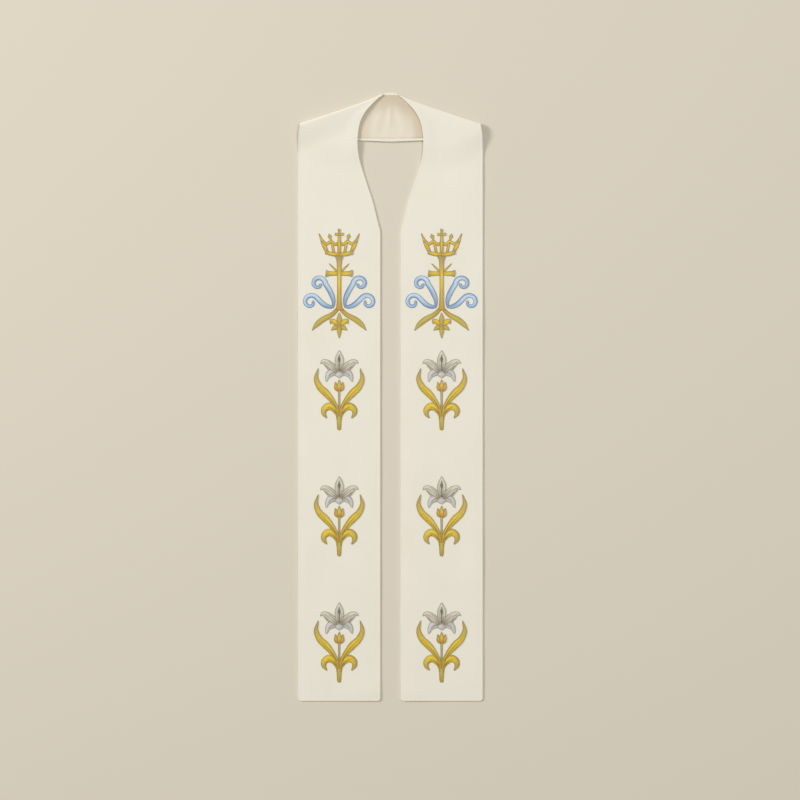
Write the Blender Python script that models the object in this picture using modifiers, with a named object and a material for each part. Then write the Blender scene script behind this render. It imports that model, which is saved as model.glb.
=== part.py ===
"""A clerical stole laid flat, folded over at the shoulders, with embroidered motifs, in metres.

Each half is cut in one piece from the hem to the centre back. It lies face up, turns over at the
shoulder, and its neck part lies face down under it, so that the lining shows in the neck opening.
Plan sizes are x from the centre line and drop below the top of the neck, as a maker would measure.
"""

import math
from collections import namedtuple

import bmesh
import bpy
import numpy as np

# Driving sizes
LENGTH = 1.191
PANEL_WIDTH = 0.1610
FRONT_GAP = 0.0396
WALL = 0.0022
LINING_WALL = 0.0010
SEAM_GAP = 0.0003
LINING_NECK_MARGIN = 0.0045
LINING_LOW_MARGIN = 0.0070
HEM_CORNER_RADIUS = 0.006
CENTRE_BACK_SEAM_X = SEAM_GAP / 2
TOP_Y = LENGTH / 2

# The fold at the shoulder
FOLD_RADIUS_NECK = 0.0020
FOLD_RADIUS_OUTER = 0.0045
FOLD_SAG = 0.0026
FOLD_SAG_SKEW = 0.62
FOLD_PUFF_REACH = 0.048
LAYER_RAMP = 0.036
LAYER_MARGIN = 0.006
UNDER_LAYERS = WALL + SEAM_GAP + LINING_WALL + 0.0004

# The mesh
COLUMNS = 9
LINING_COLUMNS = 7
STRAIGHT_ROWS = 6
CORNER_ROWS = 4
FOLD_ROWS = 8
STEPS_PER_RIB = 2

INNER_X = FRONT_GAP / 2
OUTER_X = INNER_X + PANEL_WIDTH

# A rib runs across the cloth, from its neck edge to its outer edge. sag is its share of FOLD_SAG.
Rib = namedtuple("Rib", "neck_x neck_drop outer_x outer_drop sag")

FRONT_RIBS = (
    Rib(INNER_X, 0.2760, OUTER_X, 0.2760, 0.0),
    Rib(0.0205, 0.2690, OUTER_X, 0.2695, 0.0),
    Rib(0.0260, 0.2480, OUTER_X, 0.2500, 0.0),
    Rib(0.0343, 0.2140, OUTER_X, 0.2185, 0.0),
    Rib(0.0441, 0.1840, OUTER_X, 0.1915, 0.0),
    Rib(0.0540, 0.1530, OUTER_X, 0.1640, 0.0),
    Rib(0.0611, 0.1280, OUTER_X, 0.1430, 0.0),
    Rib(0.0642, 0.1040, OUTER_X, 0.1235, 0.0),
    Rib(0.0633, 0.0800, OUTER_X, 0.1090, 0.0),
    Rib(0.0590, 0.0580, 0.1804, 0.0972, 0.0),
    Rib(0.0489, 0.0380, 0.1800, 0.0872, 0.1),
    Rib(0.0356, 0.0226, 0.1793, 0.0788, 0.4),
    Rib(0.0245, 0.0118, 0.1782, 0.0718, 0.8),
    Rib(0.0148, 0.0046, 0.1768, 0.0655, 1.0),
)
BACK_RIBS = (
    Rib(0.0148, 0.0046, 0.1768, 0.0655, 1.0),
    Rib(0.0139, 0.0034, 0.1590, 0.0748, 0.8),
    Rib(0.0127, 0.0024, 0.1345, 0.0846, 0.4),
    Rib(0.0112, 0.0016, 0.1070, 0.0900, 0.1),
    Rib(0.0092, 0.0010, 0.0800, 0.0922, 0.0),
    Rib(0.0066, 0.0005, 0.0520, 0.0936, 0.0),
    Rib(0.0036, 0.0001, 0.0250, 0.0948, 0.0),
    Rib(CENTRE_BACK_SEAM_X, 0.0000, CENTRE_BACK_SEAM_X, 0.0957, 0.0),
)

# Embroidery
THREAD_HEIGHT = 0.0008
THREAD_BASE = WALL + SEAM_GAP
SPINE_STEPS = 3
MILLIMETRE = 0.001
MOTIF_X = INNER_X + PANEL_WIDTH / 2
EMBLEM_DROP = 0.3720
LILY_DROPS = (0.5830, 0.8300, 1.0770)

# A stitched stroke is its middle line, in millimetres from the motif's centre, and half its width.
Point = namedtuple("Point", "x y half_width")

STEM = (
    Point(0, -78, 0.9), Point(0, -76, 2.9), Point(0, -73, 3.6), Point(0, -60, 4.4), Point(0, -49, 5.4),
    Point(0, -38, 2.4),
)
LONG_LEAF = (
    Point(1.2, -52, 1.4), Point(4.8, -36, 3.4), Point(13.5, -20, 4.6),
    Point(26, -5, 6.6), Point(38.5, 7.5, 5.8), Point(45.2, 24, 3.9), Point(41.5, 41.5, 0.7),
)
SHORT_LEAF = (
    Point(1.0, -58, 1.4), Point(5.2, -44, 3.6), Point(12.5, -34, 6.2),
    Point(21, -31, 7.0), Point(29, -36.5, 5.8), Point(30, -45, 4.2), Point(25, -53, 1.2),
)
BUD_STEM = (Point(0, -42, 1.8), Point(0, -20, 1.7), Point(0, 2, 2.2))
MIDDLE_SEPAL = (Point(0, -1, 2.4), Point(0, 9, 4.0), Point(0, 19.5, 0.8))
SIDE_SEPAL = (Point(1, -1, 1.8), Point(5.4, 5, 4.0), Point(7.2, 15, 1.0))
TOP_PETAL = (Point(0, 34, 3.0), Point(0, 50, 7.6), Point(0, 64, 7.4), Point(0, 78, 0.7))
RAISED_PETAL = (
    Point(2, 34, 3.4), Point(13, 44, 8.0), Point(23, 53, 7.0), Point(31, 57, 3.8), Point(36, 54, 0.9),
)
DROPPED_PETAL = (Point(2, 37, 5.0), Point(14, 36, 7.6), Point(22, 29, 5.0), Point(25, 19, 1.4))
LOW_PETAL = (Point(0, 42, 5.0), Point(0, 36, 9.0), Point(0, 30, 8.2), Point(0, 25.5, 2.0))

CROWN_BAND = (
    Point(-25.5, 59.5, 3.4), Point(-13, 56.2, 3.4), Point(0, 55.2, 3.4),
    Point(13, 56.2, 3.4), Point(25.5, 59.5, 3.4),
)
CROWN_GARLAND = (
    Point(-33, 82, 2.4), Point(-25, 76, 2.6), Point(-16, 81, 2.4), Point(-8, 75, 2.6), Point(0, 79, 2.6),
    Point(8, 75, 2.6), Point(16, 81, 2.4), Point(25, 76, 2.6), Point(33, 82, 2.4),
)
CROWN_MIDDLE_RAY = (Point(0, 55, 3.0), Point(0, 80, 2.8), Point(0, 98, 1.8), Point(0, 104, 2.2))
CROWN_TOP_ARM = (Point(-7, 95, 2.4), Point(0, 95, 1.8), Point(7, 95, 2.4))
CROWN_INNER_RAY = (
    Point(10, 56, 2.4), Point(14, 76, 2.2), Point(17, 86, 1.6), Point(18.4, 90.5, 3.6),
    Point(19.6, 94.5, 0.8),
)
CROWN_OUTER_RAY = (Point(22.6, 58, 2.6), Point(30, 74, 3.8), Point(39, 95, 0.8))

CROSS_SHAFT = (
    Point(0, -54, 8.5), Point(0, -46, 5.0), Point(0, -20, 3.6), Point(0, 18, 3.6),
    Point(0, 42, 4.6), Point(0, 50, 7.5),
)
CROSS_ARMS = (
    Point(-25, 18, 6.5), Point(-18, 18, 4.4), Point(0, 18, 3.4), Point(18, 18, 4.4), Point(25, 18, 6.5),
)
CROSS_RAY = (Point(1, 19, 1.6), Point(9, 27, 1.6), Point(18, 36, 0.6))
FOOT_LEAF = (
    Point(2, -50, 3.0), Point(14, -62, 4.2), Point(32, -72, 5.2), Point(44, -82, 4.4), Point(52, -92, 0.8),
)
FLEURON_UP = (Point(0, -84, 3.0), Point(0, -70, 4.4), Point(0, -60, 0.7))
FLEURON_DOWN = (Point(0, -84, 3.6), Point(0, -95, 4.0), Point(0, -107, 0.8))
FLEURON_SIDE = (Point(0, -84, 3.0), Point(9, -77, 4.8), Point(15.5, -74, 3.0), Point(17, -79, 0.8))
FLEURON_LOW_SIDE = (Point(0, -85, 3.0), Point(8.5, -88, 4.4), Point(14.5, -92, 1.0))

# A frond's curl: its centre, its radii and half widths in millimetres, and its angles in degrees.
Spiral = namedtuple(
    "Spiral", "x y first_radius last_radius first_angle last_angle first_half_width last_half_width"
)
LOW_CURL = Spiral(56, -38, 15, 4.5, 150, -200, 4.6, 2.2)
HIGH_CURL = Spiral(41, -2, 14, 4.5, 180, -170, 4.6, 2.2)
SPIRAL_STEPS = 15
LOW_FROND_FOOT = (Point(9.5, -45.5, 2.2), Point(18, -47, 3.4), Point(30, -42.5, 4.6))
HIGH_FROND_FOOT = (
    Point(11, -46, 1.8), Point(11.5, -34, 3.4), Point(15.5, -22, 4.6), Point(21, -11.5, 4.6),
)

COLOURS = {
    "ivory_cloth": (0.80, 0.76, 0.66),
    "lining_satin": (0.70, 0.63, 0.50),
    "gold_thread": (0.60, 0.39, 0.05),
    "silver_thread": (0.52, 0.50, 0.45),
    "blue_thread": (0.28, 0.45, 0.70),
}


def start_empty():
    for obj in list(bpy.data.objects):
        bpy.data.objects.remove(obj)
    collection = bpy.data.collections.new("stole")
    bpy.context.scene.collection.children.link(collection)
    return collection


def thread_or_cloth(name):
    material = bpy.data.materials.new(name)
    material.use_nodes = True
    shader = material.node_tree.nodes["Principled BSDF"]
    shader.inputs["Base Color"].default_value = (*COLOURS[name], 1.0)
    shader.inputs["Roughness"].default_value = 0.85 if "cloth" in name else 0.45
    shader.inputs["Metallic"].default_value = 0.0
    return material


def smoothstep(share):
    share = np.clip(share, 0.0, 1.0)
    return share * share * (3.0 - 2.0 * share)


def through(rows, steps):
    """The rows with steps - 1 more between each two, on one smooth curve through them all."""
    table = np.array(rows, float)
    before = np.vstack([2 * table[0] - table[1], table, 2 * table[-1] - table[-2]])
    found = []
    for i in range(len(table) - 1):
        p0, p1, p2, p3 = before[i : i + 4]
        for k in range(steps):
            t = k / steps
            found.append(
                0.5 * (2 * p1 + (p2 - p0) * t + (2 * p0 - 5 * p1 + 4 * p2 - p3) * t**2
                       + (3 * p1 - p0 - 3 * p2 + p3) * t**3)
            )
    return np.array([*found, table[-1]])


def hidden_edge_y(x):
    """Where the outer edge of the back part lies, under the front."""
    edge = sorted((rib.outer_x, TOP_Y - rib.outer_drop) for rib in BACK_RIBS)
    return np.interp(x, [point[0] for point in edge], [point[1] for point in edge])


def fold_frame():
    """The fold line's neck end, its direction to the outer end, its length, and its outward normal."""
    fold = FRONT_RIBS[-1]
    neck = np.array([fold.neck_x, TOP_Y - fold.neck_drop])
    outer = np.array([fold.outer_x, TOP_Y - fold.outer_drop])
    length = np.linalg.norm(outer - neck)
    along = (outer - neck) / length
    return neck, along, length, np.array([-along[1], along[0]])


def fold_radius(share):
    return FOLD_RADIUS_NECK + (FOLD_RADIUS_OUTER - FOLD_RADIUS_NECK) * share


def front_height(points):
    """The middle of the front's wall: flat on the floor, over the back part, and full at the fold."""
    neck, along, length, normal = fold_frame()
    share = np.clip((points - neck) @ along / length, 0.0, 1.0)
    below_fold = np.maximum(-(points - neck) @ normal, 0.0)
    outside_edge = hidden_edge_y(points[:, 0]) - LAYER_MARGIN - points[:, 1]
    layers = UNDER_LAYERS * smoothstep(1.0 - outside_edge / LAYER_RAMP)
    puff = (2 * fold_radius(share) - UNDER_LAYERS) * (1.0 - smoothstep(below_fold / FOLD_PUFF_REACH))
    return WALL / 2 + layers + puff


def across(rib, columns, neck_inset=0.0, outer_inset=0.0):
    """Plan points across a rib, each with its share of the way to the outer edge."""
    neck_x, neck_drop, outer_x, outer_drop, sag = rib
    neck = np.array([neck_x, TOP_Y - neck_drop])
    outer = np.array([outer_x, TOP_Y - outer_drop])
    length = np.linalg.norm(outer - neck)
    share = np.linspace(neck_inset / length, 1.0 - outer_inset / length, columns)
    points = neck + np.outer(share, outer - neck)
    points -= np.outer(FOLD_SAG * sag * np.sin(math.pi * share**FOLD_SAG_SKEW), fold_frame()[3])
    return points, share


def with_height(points, height):
    return np.column_stack([points, np.broadcast_to(height, len(points))])


def hem_rows():
    """Rows from the hem up the straight panel, with rounded corners at the hem."""
    rows = []
    for k in range(CORNER_ROWS):
        angle = math.radians(90) * k / CORNER_ROWS
        inset = HEM_CORNER_RADIUS * (1.0 - math.sin(angle))
        drop = LENGTH - HEM_CORNER_RADIUS * (1.0 - math.cos(angle))
        rows.append(Rib(INNER_X + inset, drop, OUTER_X - inset, drop, 0.0))
    lowest, highest = LENGTH - HEM_CORNER_RADIUS, FRONT_RIBS[0].neck_drop
    for drop in np.linspace(lowest, highest, STRAIGHT_ROWS, endpoint=False):
        rows.append(Rib(INNER_X, drop, OUTER_X, drop, 0.0))
    return rows


def half_rows():
    """The middle surface of a half, as rows of points from the hem to the centre back."""
    rows = []
    for rib in [*hem_rows(), *through(FRONT_RIBS, STEPS_PER_RIB)]:
        points, _ = across(rib, COLUMNS)
        rows.append(with_height(points, front_height(points)))
    axis, share = across(FRONT_RIBS[-1], COLUMNS)
    radius = fold_radius(share)
    for k in range(1, FOLD_ROWS):
        angle = math.pi * (0.5 - k / FOLD_ROWS)
        points = axis + np.outer(radius * math.cos(angle), (0.0, 1.0))
        rows.append(with_height(points, WALL / 2 + radius * (1.0 + math.sin(angle))))
    for rib in through(BACK_RIBS, STEPS_PER_RIB):
        points, _ = across(rib, COLUMNS)
        rows.append(with_height(points, WALL / 2))
    return rows


def lining_rows():
    """The lining on the back part, inside a margin of the outer cloth, clear of the fold."""
    rows = []
    for rib in through(BACK_RIBS[1:], STEPS_PER_RIB):
        points, _ = across(rib, LINING_COLUMNS, LINING_NECK_MARGIN, LINING_LOW_MARGIN)
        rows.append(with_height(points, WALL + SEAM_GAP + LINING_WALL / 2))
    return rows


def sheet_of_rows(name, rows, side, wall, material, collection):
    """A wall of cloth through the rows. side is 1 for the right half and -1 for the left."""
    mesh = bpy.data.meshes.new(name)
    sheet = bmesh.new()
    grid = [[sheet.verts.new((side * x, y, z)) for x, y, z in row] for row in rows]
    for low, high in zip(grid, grid[1:]):
        for a, b, c, d in zip(low, low[1:], high[1:], high):
            sheet.faces.new((a, b, c, d) if side > 0 else (d, c, b, a))
    sheet.to_mesh(mesh)
    sheet.free()
    mesh.shade_smooth()
    mesh.materials.append(material)
    obj = bpy.data.objects.new(name, mesh)
    collection.objects.link(obj)
    thick = obj.modifiers.new("cloth wall", "SOLIDIFY")
    thick.thickness = wall
    thick.offset = 0.0
    thick.use_even_offset = True
    obj.modifiers.new("flat sides and edges", "WEIGHTED_NORMAL")


def ribbon_outline(line):
    """The closed outline of a stroke's line: up its right side and back down its left."""
    heading = np.gradient(line[:, :2], axis=0)
    heading /= np.linalg.norm(heading, axis=1)[:, None]
    sideways = np.column_stack([heading[:, 1], -heading[:, 0]]) * line[:, 2:]
    return [*(line[:, :2] + sideways), *(line[:, :2] - sideways)[::-1]]


def mirrored(line):
    return line * (-1, 1, 1)


def motif_lines(middle, paired):
    """Smooth lines of a motif's middle strokes, and of its paired strokes on both sides."""
    pairs = [through(stroke, SPINE_STEPS) for stroke in paired]
    return [*(through(stroke, SPINE_STEPS) for stroke in middle), *pairs, *map(mirrored, pairs)]


def scroll_line(foot, spiral):
    """The line of a foot that runs smoothly into a spiral, narrowing towards its middle."""
    share = np.linspace(0.0, 1.0, SPIRAL_STEPS + 1)
    angle = np.radians(spiral.first_angle + (spiral.last_angle - spiral.first_angle) * share)
    radius = spiral.first_radius + (spiral.last_radius - spiral.first_radius) * share
    width = spiral.first_half_width + (spiral.last_half_width - spiral.first_half_width) * share
    curl = np.column_stack([spiral.x + radius * np.cos(angle), spiral.y + radius * np.sin(angle), width])
    return np.vstack([through([*foot, curl[0]], SPINE_STEPS)[:-1], curl])


def plate(outline, name):
    """A flat outline as thick as the raised thread, as a mesh object."""
    curve = bpy.data.curves.new(name, "CURVE")
    curve.dimensions = "2D"
    curve.fill_mode = "BOTH"
    curve.extrude = THREAD_HEIGHT / 2
    edge = curve.splines.new("POLY")
    edge.points.add(len(outline) - 1)
    for point, (x, y) in zip(edge.points, outline):
        point.co = (x * MILLIMETRE, y * MILLIMETRE, 0.0, 1.0)
    edge.use_cyclic_u = True
    drawn = bpy.data.objects.new(name, curve)
    bpy.context.scene.collection.objects.link(drawn)
    bpy.context.view_layer.update()
    mesh = bpy.data.meshes.new_from_object(drawn.evaluated_get(bpy.context.evaluated_depsgraph_get()))
    bpy.data.objects.remove(drawn)
    solid = bmesh.new()
    solid.from_mesh(mesh)
    bmesh.ops.remove_doubles(solid, verts=solid.verts, dist=0.00001)
    bmesh.ops.recalc_face_normals(solid, faces=solid.faces)
    solid.to_mesh(mesh)
    solid.free()
    obj = bpy.data.objects.new(name, mesh)
    bpy.context.scene.collection.objects.link(obj)
    return obj


def joined(name, lines, material):
    """One mesh of all the strokes' plates, joined where they overlap."""
    plates = [plate(ribbon_outline(line), f"{name} stroke") for line in lines]
    first, *others = plates
    for other in others:
        union = first.modifiers.new("join", "BOOLEAN")
        union.operation = "UNION"
        union.solver = "EXACT"
        union.object = other
    bpy.context.view_layer.update()
    mesh = bpy.data.meshes.new_from_object(first.evaluated_get(bpy.context.evaluated_depsgraph_get()))
    mesh.name = name
    mesh.materials.append(material)
    for obj in plates:
        bpy.data.objects.remove(obj)
    return mesh


def place(name, mesh, x, drop, collection):
    """A copy of a motif's mesh on the front, just above the cloth."""
    obj = bpy.data.objects.new(name, mesh)
    obj.location = (x, TOP_Y - drop, THREAD_BASE + THREAD_HEIGHT / 2)
    collection.objects.link(obj)
    return obj


def emblem_meshes(materials):
    """A crown over a cross between curled fronds, and a small fleuron, each by its name."""
    crown = motif_lines(
        (CROWN_BAND, CROWN_GARLAND, CROWN_MIDDLE_RAY, CROWN_TOP_ARM), (CROWN_INNER_RAY, CROWN_OUTER_RAY)
    )
    cross = motif_lines((CROSS_SHAFT, CROSS_ARMS), (CROSS_RAY, FOOT_LEAF))
    scrolls = [scroll_line(LOW_FROND_FOOT, LOW_CURL), scroll_line(HIGH_FROND_FOOT, HIGH_CURL)]
    fleuron = motif_lines((FLEURON_UP, FLEURON_DOWN), (FLEURON_SIDE, FLEURON_LOW_SIDE))
    gold, blue = materials["gold_thread"], materials["blue_thread"]
    return {
        "crown": joined("crown", crown, gold),
        "cross": joined("cross", cross, gold),
        "scroll_east": joined("scroll_east", scrolls, blue),
        "scroll_west": joined("scroll_west", map(mirrored, scrolls), blue),
        "fleuron": joined("fleuron", fleuron, gold),
    }


def lily_meshes(materials):
    """A lily's gold leaves, stem and bud, and its silver bloom, each by its name."""
    leaves = motif_lines((STEM, BUD_STEM, MIDDLE_SEPAL), (LONG_LEAF, SHORT_LEAF, SIDE_SEPAL))
    bloom = motif_lines((LOW_PETAL, TOP_PETAL), (DROPPED_PETAL, RAISED_PETAL))
    return {
        "leaves": joined("leaves", leaves, materials["gold_thread"]),
        "bloom": joined("bloom", bloom, materials["silver_thread"]),
    }


def main():
    collection = start_empty()
    materials = {name: thread_or_cloth(name) for name in COLOURS}
    emblem = emblem_meshes(materials)
    lily = lily_meshes(materials)
    for word, side in (("left", -1), ("right", 1)):
        sheet_of_rows(f"{word}_half", half_rows(), side, WALL, materials["ivory_cloth"], collection)
        sheet_of_rows(
            f"{word}_neck_lining", lining_rows(), side, LINING_WALL, materials["lining_satin"], collection
        )
        for name, mesh in emblem.items():
            place(f"{word}_{name}", mesh, side * MOTIF_X, EMBLEM_DROP, collection)
        for number, drop in enumerate(LILY_DROPS, start=1):
            for name, mesh in lily.items():
                place(f"{word}_lily_{number}_{name}", mesh, side * MOTIF_X, drop, collection)


main()
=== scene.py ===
"""The looks of a clerical stole: ivory cloth, satin neck lining and satin-stitch embroidery.

The stole lies flat, face up, and turns over at the shoulders, so the lining of the back of the
neck shows in the neck opening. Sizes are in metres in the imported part's frame, and plan places are
x from the centre line and drop below the top of the neck. Motifs are drawn in millimetres.
"""

import math
from collections import namedtuple

import bmesh
import bpy
import numpy as np
from mathutils import Matrix, Vector


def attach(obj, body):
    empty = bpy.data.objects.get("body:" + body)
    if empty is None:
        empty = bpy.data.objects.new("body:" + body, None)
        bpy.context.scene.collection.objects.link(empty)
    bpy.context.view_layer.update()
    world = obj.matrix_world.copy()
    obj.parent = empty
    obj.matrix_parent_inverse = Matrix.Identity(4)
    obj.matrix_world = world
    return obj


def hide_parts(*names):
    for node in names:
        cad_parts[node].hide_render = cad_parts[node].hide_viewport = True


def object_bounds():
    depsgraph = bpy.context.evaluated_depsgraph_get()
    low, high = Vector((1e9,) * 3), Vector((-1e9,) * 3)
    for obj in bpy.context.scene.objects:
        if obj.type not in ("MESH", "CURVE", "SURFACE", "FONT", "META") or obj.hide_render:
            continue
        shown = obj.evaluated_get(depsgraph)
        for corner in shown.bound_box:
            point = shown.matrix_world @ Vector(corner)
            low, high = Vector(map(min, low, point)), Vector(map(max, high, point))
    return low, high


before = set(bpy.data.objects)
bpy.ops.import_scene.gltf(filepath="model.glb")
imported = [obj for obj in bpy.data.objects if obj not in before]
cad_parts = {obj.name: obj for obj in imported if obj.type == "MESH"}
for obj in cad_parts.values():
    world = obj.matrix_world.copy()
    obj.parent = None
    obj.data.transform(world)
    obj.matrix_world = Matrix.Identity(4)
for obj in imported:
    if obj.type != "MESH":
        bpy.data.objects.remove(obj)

CAD_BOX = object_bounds()
TOP_Y = CAD_BOX[1].y
LENGTH = CAD_BOX[1].y - CAD_BOX[0].y
WALL = 0.0022
MILLIMETRE = 0.001

# The cut of a half
PANEL_WIDTH = 0.1610
FRONT_GAP = 0.0396
INNER_X = FRONT_GAP / 2
OUTER_X = INNER_X + PANEL_WIDTH
CENTRE_BACK_SEAM_X = 0.00003
HEM_CORNER_RADIUS = 0.006
TURNED_EDGE = 0.0045
LINING_LOW_MARGIN = 0.0070
LINING_WALL = 0.0010
SEAM_GAP = 0.0003
UNDER_LAYERS = WALL + SEAM_GAP + LINING_WALL + 0.0004

# The fold at the shoulder
FOLD_RADIUS_NECK = 0.0020
FOLD_RADIUS_OUTER = 0.0045
FOLD_SAG = 0.0026
FOLD_SAG_SKEW = 0.62
FOLD_PUFF_REACH = 0.048
LAYER_RAMP = 0.060
LAYER_MARGIN = 0.006

# The mesh of the cloth
EDGE_COLUMNS = (0.0, 0.0011, 0.0024, 0.0040, 0.0052, 0.0060, 0.0068, 0.0082, 0.0110)
MIDDLE_COLUMNS = 25
HEM_ROWS = (0.0060, 0.0068, 0.0082, 0.0110)
ROW_PITCH = 0.005
CORNER_ROWS = 6
FOLD_ROWS = 16
STEPS_PER_RIB = 7
EDGE_ROUNDING = 0.0009
EDGE_ROUNDING_STEPS = 3
SHARP_EDGE_ANGLE = math.radians(60)

# The pressed line where the turned edge ends
PRESSED_LINE = 0.0060
PRESSED_HALF_WIDTH = 0.0010
PRESSED_DEPTH = 0.00009

# The soft lift of the front's neck edge over the back part: it starts below the fold and ends lower
NECK_LIFT = 0.0012
NECK_LIFT_REACH = 0.034
NECK_LIFT_BELOW_FOLD = 0.022
NECK_LIFT_END_DROP = 0.085
NECK_LIFT_END_RUN = 0.055

# The lining's painted shade, beside the front's neck edge, weaker on the left, and below the fold
SHADE_REACH = 0.030
SHADE_CURVE_STEPS = 4
SHADE_ON_THE_LEFT = 0.7
SHADE_BY_FOLD = 0.9
SHADE_TOP = 0.006
SHADE_DROP = 0.042

# The turned edge of the back part is as thick as the lining beside it.
RIM_RISE = 0.0012
RIM_SLOPE = (0.0066, 0.0070)

# A rib runs across the cloth, from its neck edge to its outer edge. sag is its share of FOLD_SAG.
# The front's ribs run from the end of the straight panel to the fold, and the back's to the seam.
Rib = namedtuple("Rib", "neck_x neck_drop outer_x outer_drop sag")

FRONT_RIBS = (
    Rib(INNER_X, 0.2760, OUTER_X, 0.2760, 0.0),
    Rib(0.0205, 0.2690, OUTER_X, 0.2695, 0.0),
    Rib(0.0260, 0.2480, OUTER_X, 0.2500, 0.0),
    Rib(0.0343, 0.2140, OUTER_X, 0.2185, 0.0),
    Rib(0.0441, 0.1840, OUTER_X, 0.1915, 0.0),
    Rib(0.0540, 0.1530, OUTER_X, 0.1640, 0.0),
    Rib(0.0611, 0.1280, OUTER_X, 0.1430, 0.0),
    Rib(0.0642, 0.1040, OUTER_X, 0.1235, 0.0),
    Rib(0.0633, 0.0800, OUTER_X, 0.1090, 0.0),
    Rib(0.0590, 0.0580, 0.1804, 0.0972, 0.0),
    Rib(0.0489, 0.0380, 0.1800, 0.0872, 0.1),
    Rib(0.0356, 0.0226, 0.1793, 0.0788, 0.4),
    Rib(0.0245, 0.0118, 0.1782, 0.0718, 0.8),
    Rib(0.0148, 0.0046, 0.1768, 0.0655, 1.0),
)
NECK_CURVE_RIBS = FRONT_RIBS[6:]
BACK_RIBS = (
    Rib(0.0148, 0.0046, 0.1768, 0.0655, 1.0),
    Rib(0.0139, 0.0034, 0.1590, 0.0748, 0.8),
    Rib(0.0127, 0.0024, 0.1345, 0.0846, 0.4),
    Rib(0.0112, 0.0016, 0.1070, 0.0900, 0.1),
    Rib(0.0092, 0.0010, 0.0800, 0.0922, 0.0),
    Rib(0.0066, 0.0005, 0.0520, 0.0936, 0.0),
    Rib(0.0036, 0.0001, 0.0250, 0.0948, 0.0),
    Rib(CENTRE_BACK_SEAM_X, 0.0000, CENTRE_BACK_SEAM_X, 0.0957, 0.0),
)

# Soft swells of the laid cloth: place across and drop, how far they reach each way, and height.
Swell = namedtuple("Swell", "x drop reach_x reach_drop height")
PANEL_SWELLS = (
    Swell(0.150, 0.175, 0.040, 0.060, 0.0007),
    Swell(0.075, 0.300, 0.050, 0.080, 0.0006),
    Swell(0.165, 0.455, 0.030, 0.070, 0.0008),
    Swell(0.040, 0.520, 0.030, 0.050, 0.0006),
    Swell(0.130, 0.700, 0.050, 0.050, 0.0006),
    Swell(0.045, 0.745, 0.026, 0.060, 0.0007),
    Swell(0.168, 0.915, 0.024, 0.070, 0.0008),
    Swell(0.060, 0.960, 0.045, 0.045, 0.0005),
    Swell(0.150, 1.130, 0.040, 0.040, 0.0006),
    Swell(0.050, 1.175, 0.040, 0.022, 0.0009),
)

# Creases of the neck lining run from a top point to a low point. Height is below zero for a trough.
Crease = namedtuple("Crease", "top_x top_drop low_x low_drop half_width height")
LINING_CREASES = (
    Crease(0.0010, 0.034, 0.0010, 0.068, 0.0022, 0.0007),
    Crease(0.0080, 0.030, 0.0160, 0.078, 0.0060, -0.0004),
    Crease(0.0150, 0.028, 0.0290, 0.070, 0.0090, 0.0005),
    Crease(0.0340, 0.040, 0.0390, 0.078, 0.0080, -0.0003),
    Crease(0.0430, 0.060, 0.0480, 0.084, 0.0060, 0.0003),
)
LEFT_CREASE_RISE = 0.004

# Embroidery
THREAD_BASE = WALL - 0.0001
THREAD_THICKNESS = 0.00045
STITCH_PITCH = 0.0009
STRANDS_PER_STITCH = 3
OUTLINE_PITCH = 0.0016
OUTLINE_HALF_WIDTH = 0.42
OUTLINE_INSET = 0.25
LEAST_OUTLINE_OFFSET = 0.1
JOIN_DISTANCE = 0.000001
THREAD_SMOOTH_ANGLE = math.radians(50)
LAYER_LIFT = 0.00016
VEIN_LAYER = 8
STAMEN_LAYER = 12
SPINE_STEPS = 8
MOTIF_X = INNER_X + PANEL_WIDTH / 2
EMBLEM_DROP = 0.3720
LILY_DROPS = (0.5830, 0.8300, 1.0770)

# One stitch, to be repeated along a stroke: how many faces it has across, how far it slants, and
# how high its middle and its ridge stand, as shares of its pitch and of the stroke's half width.
Tile = namedtuple("Tile", "name pitch columns slant dome ridge")
TILES = {
    "body": Tile("satin stitch", STITCH_PITCH, 4, 0.9, 0.13, 0.020),
    "outline": Tile("outline stitch", OUTLINE_PITCH, 2, 0.35, 0.5, 0.25),
}
DOME_REACHES = (0.75, 0.25)

# A stitched stroke is its middle line, in millimetres from the motif's centre, and half its width.
# One that starts at PAST_MIDDLE has a mirrored twin, and the two overlap in the middle.
Point = namedtuple("Point", "x y half_width")
PAST_MIDDLE = -1.7

STEM = (
    Point(0, -78, 0.9), Point(0, -76, 2.9), Point(0, -73, 3.6),
    Point(0, -60, 4.4), Point(0, -49, 5.4), Point(0, -38, 2.4),
)
LONG_LEAF = (
    Point(1.2, -52, 1.4), Point(4.8, -36, 3.4), Point(13.5, -20, 4.6),
    Point(26, -5, 6.6), Point(38.5, 7.5, 5.8), Point(45.2, 24, 3.9), Point(41.5, 41.5, 0.7),
)
SHORT_LEAF = (
    Point(1.0, -58, 1.4), Point(5.2, -44, 3.6), Point(12.5, -34, 6.2),
    Point(21, -31, 7.0), Point(29, -36.5, 5.8), Point(30, -45, 4.2), Point(25, -53, 1.2),
)
BUD_STEM = (Point(0, -42, 1.8), Point(0, -20, 1.7), Point(0, 2, 2.2))
MIDDLE_SEPAL = (Point(0, -1, 2.4), Point(0, 9, 4.0), Point(0, 19.5, 0.8))
SIDE_SEPAL = (Point(1, -1, 1.8), Point(5.4, 5, 4.0), Point(7.2, 15, 1.0))
TOP_PETAL = (Point(0, 34, 3.0), Point(0, 50, 7.6), Point(0, 64, 7.4), Point(0, 78, 0.7))
RAISED_PETAL = (
    Point(2, 34, 3.4), Point(13, 44, 8.0), Point(23, 53, 7.0),
    Point(31, 57, 3.8), Point(36, 54, 0.9),
)
DROPPED_PETAL = (Point(2, 37, 5.0), Point(14, 36, 7.6), Point(22, 29, 5.0), Point(25, 19, 1.4))
LOW_PETAL = (Point(0, 42, 5.0), Point(0, 36, 9.0), Point(0, 30, 8.2), Point(0, 25.5, 2.0))
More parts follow.
